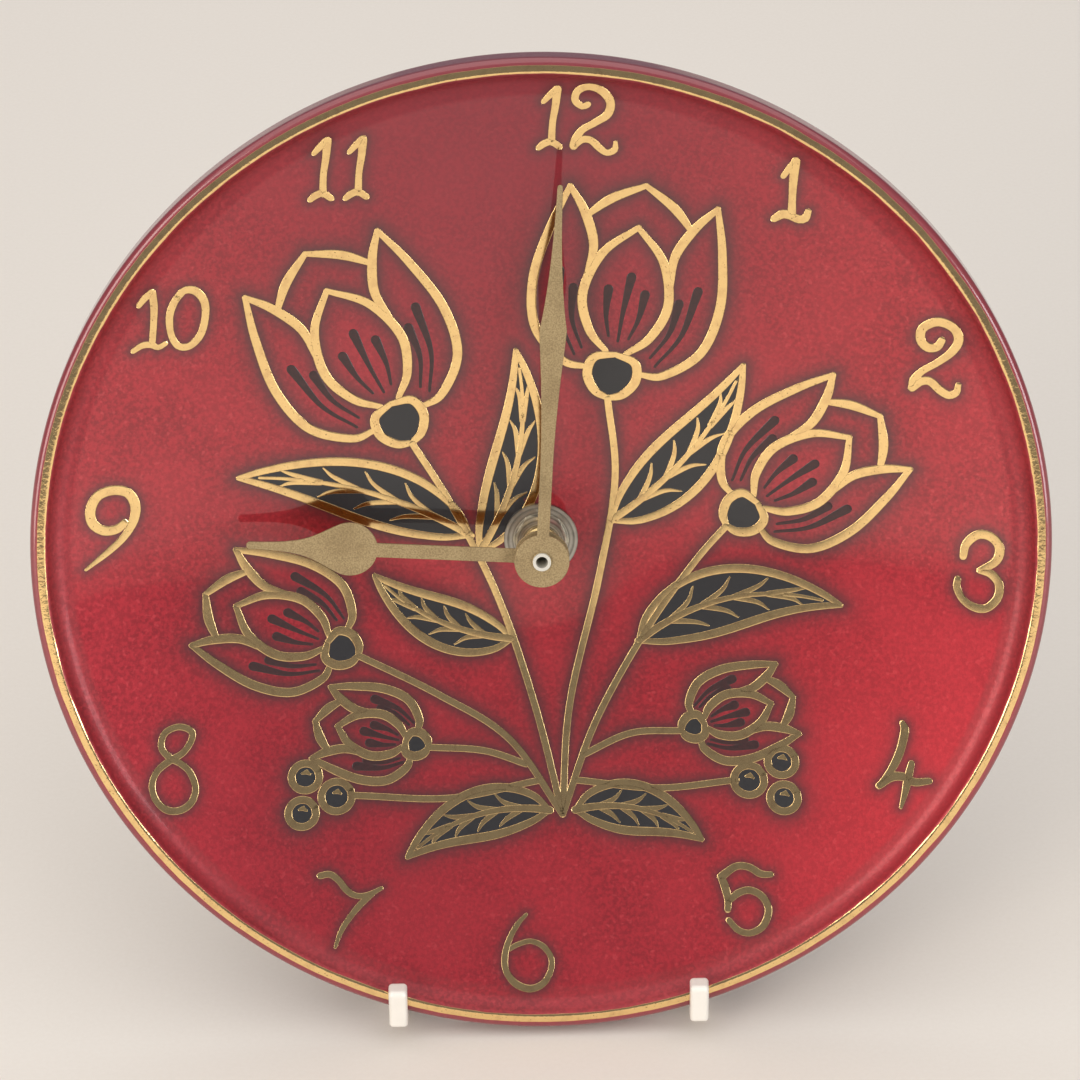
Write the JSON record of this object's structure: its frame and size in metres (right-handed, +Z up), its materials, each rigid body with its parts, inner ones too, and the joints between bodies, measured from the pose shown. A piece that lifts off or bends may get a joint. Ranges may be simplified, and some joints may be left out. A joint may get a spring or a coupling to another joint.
{
  "type": "plate clock",
  "caption": "Round glazed dish clock with painted numerals, gilt hands and a quartz movement, leaning on a small plate stand.",
  "frame": {"origin": "on the floor, below the middle of the part's box", "axes": "+Z up, +X to the right of a person facing the dial, the dial faces -Y and leans back"},
  "size_m": [0.23, 0.092, 0.2242],
  "materials": {
    "red_glaze": "glossy translucent red glaze with a fine grain",
    "gilding": "burnished gold lustre painted on the glaze",
    "gilt_hand": "satin gilt stamped sheet",
    "dark_steel": "blackened steel with worn edges",
    "brass": "turned, satin",
    "plated_steel": "zinc plated",
    "contact_spring": "nickel plated spring strip",
    "core_iron": "soft iron, bare",
    "copper_wire": "enamelled copper wire",
    "magnet": "sintered magnet",
    "black_rubber": "matt",
    "black_resin": "matt",
    "board_laminate": "green lacquer",
    "case_plastic": "fine moulded grain",
    "natural_plastic": "natural acetal",
    "battery_sleeve": "plain printed sleeve, bare metal ends",
    "white_plastic": "moulded, soft gloss"
  },
  "bodies": {
    "stand": {"stand_left_frame": "white_plastic", "stand_right_frame": "white_plastic", "stand_rear_bar": "white_plastic", "stand_top_bar": "white_plastic"},
    "clock": {"dial_plate": "red_glaze", "front_washer": "dark_steel", "fixing_nut": "dark_steel", "threaded_bush": "brass", "rubber_gasket": "black_rubber", "hanger": "plated_steel", "movement_case": "case_plastic", "movement_cover": "case_plastic", "train_bridge": "natural_plastic", "bridge_screws": "plated_steel", "circuit_board": "board_laminate", "driver_chip": "black_resin", "quartz_crystal": "plated_steel", "positive_contact": "contact_spring", "negative_contact": "contact_spring", "stator": "core_iron", "coil_core": "core_iron", "coil_bobbin": "natural_plastic", "coil_winding": "copper_wire"},
    "battery": {"battery": "battery_sleeve"},
    "minute": {"minute_hand": "gilt_hand", "minute_collet": "brass", "cannon_pinion": "natural_plastic", "clutch_spring": "contact_spring"},
    "hour": {"hour_hand": "gilt_hand", "hour_collet": "brass", "hour_wheel": "natural_plastic"},
    "motion": {"motion_wheel": "natural_plastic"},
    "setting": {"setting_pinion": "natural_plastic", "setting_knob": "case_plastic"},
    "seconds": {"seconds_wheel": "natural_plastic"},
    "third": {"third_wheel": "natural_plastic"},
    "centre": {"centre_wheel": "brass"},
    "intermediate": {"intermediate_wheel": "natural_plastic"},
    "rotor": {"rotor_pinion": "natural_plastic", "rotor_magnet": "magnet"}
  },
  "joints": [
    {"name": "clock_lift", "type": "slide", "parent": "stand", "child": "clock", "axis": [0, 0, 1], "range_m": [0, 0.08]},
    {"name": "battery_slide", "type": "slide", "parent": "clock", "child": "battery", "axis": [0, 0.9659, -0.2588], "range_m": [0, 0.02]},
    {"name": "minute_turn", "type": "hinge", "parent": "clock", "child": "minute", "pos_m": [0, 0.00102, 0.10964], "axis": [0, -0.9659, 0.2588], "continuous": true},
    {"name": "hour_turn", "type": "hinge", "parent": "clock", "child": "hour", "pos_m": [0, 0.00102, 0.10964], "axis": [0, -0.9659, 0.2588], "continuous": true},
    {"name": "motion_turn", "type": "hinge", "parent": "clock", "child": "motion", "pos_m": [-0.01001, 0.00274, 0.11604], "axis": [0, -0.9659, 0.2588], "continuous": true},
    {"name": "setting_turn", "type": "hinge", "parent": "clock", "child": "setting", "pos_m": [-0.01341, 0.00571, 0.12715], "axis": [0, -0.9659, 0.2588], "continuous": true},
    {"name": "seconds_turn", "type": "hinge", "parent": "clock", "child": "seconds", "pos_m": [0, 0.00102, 0.10964], "axis": [0, -0.9659, 0.2588], "continuous": true},
    {"name": "third_turn", "type": "hinge", "parent": "clock", "child": "third", "pos_m": [0.01086, 0.00175, 0.11235], "axis": [0, -0.9659, 0.2588], "continuous": true},
    {"name": "centre_turn", "type": "hinge", "parent": "clock", "child": "centre", "pos_m": [0, 0.00102, 0.10964], "axis": [0, -0.9659, 0.2588], "continuous": true},
    {"name": "intermediate_turn", "type": "hinge", "parent": "clock", "child": "intermediate", "pos_m": [0.00073, 0.00412, 0.12121], "axis": [0, -0.9659, 0.2588], "continuous": true},
    {"name": "rotor_turn", "type": "hinge", "parent": "clock", "child": "rotor", "pos_m": [0.00119, 0.00607, 0.1285], "axis": [0, -0.9659, 0.2588], "continuous": true}
  ],
  "couplings": [
    {"joint": "hour_turn", "follows": "minute_turn", "ratio": 0.083333},
    {"joint": "motion_turn", "follows": "minute_turn", "ratio": -0.33333},
    {"joint": "setting_turn", "follows": "minute_turn", "ratio": 1},
    {"joint": "third_turn", "follows": "seconds_turn", "ratio": -0.13333},
    {"joint": "centre_turn", "follows": "seconds_turn", "ratio": 0.016667},
    {"joint": "intermediate_turn", "follows": "seconds_turn", "ratio": -5},
    {"joint": "rotor_turn", "follows": "seconds_turn", "ratio": 30}
  ]
}
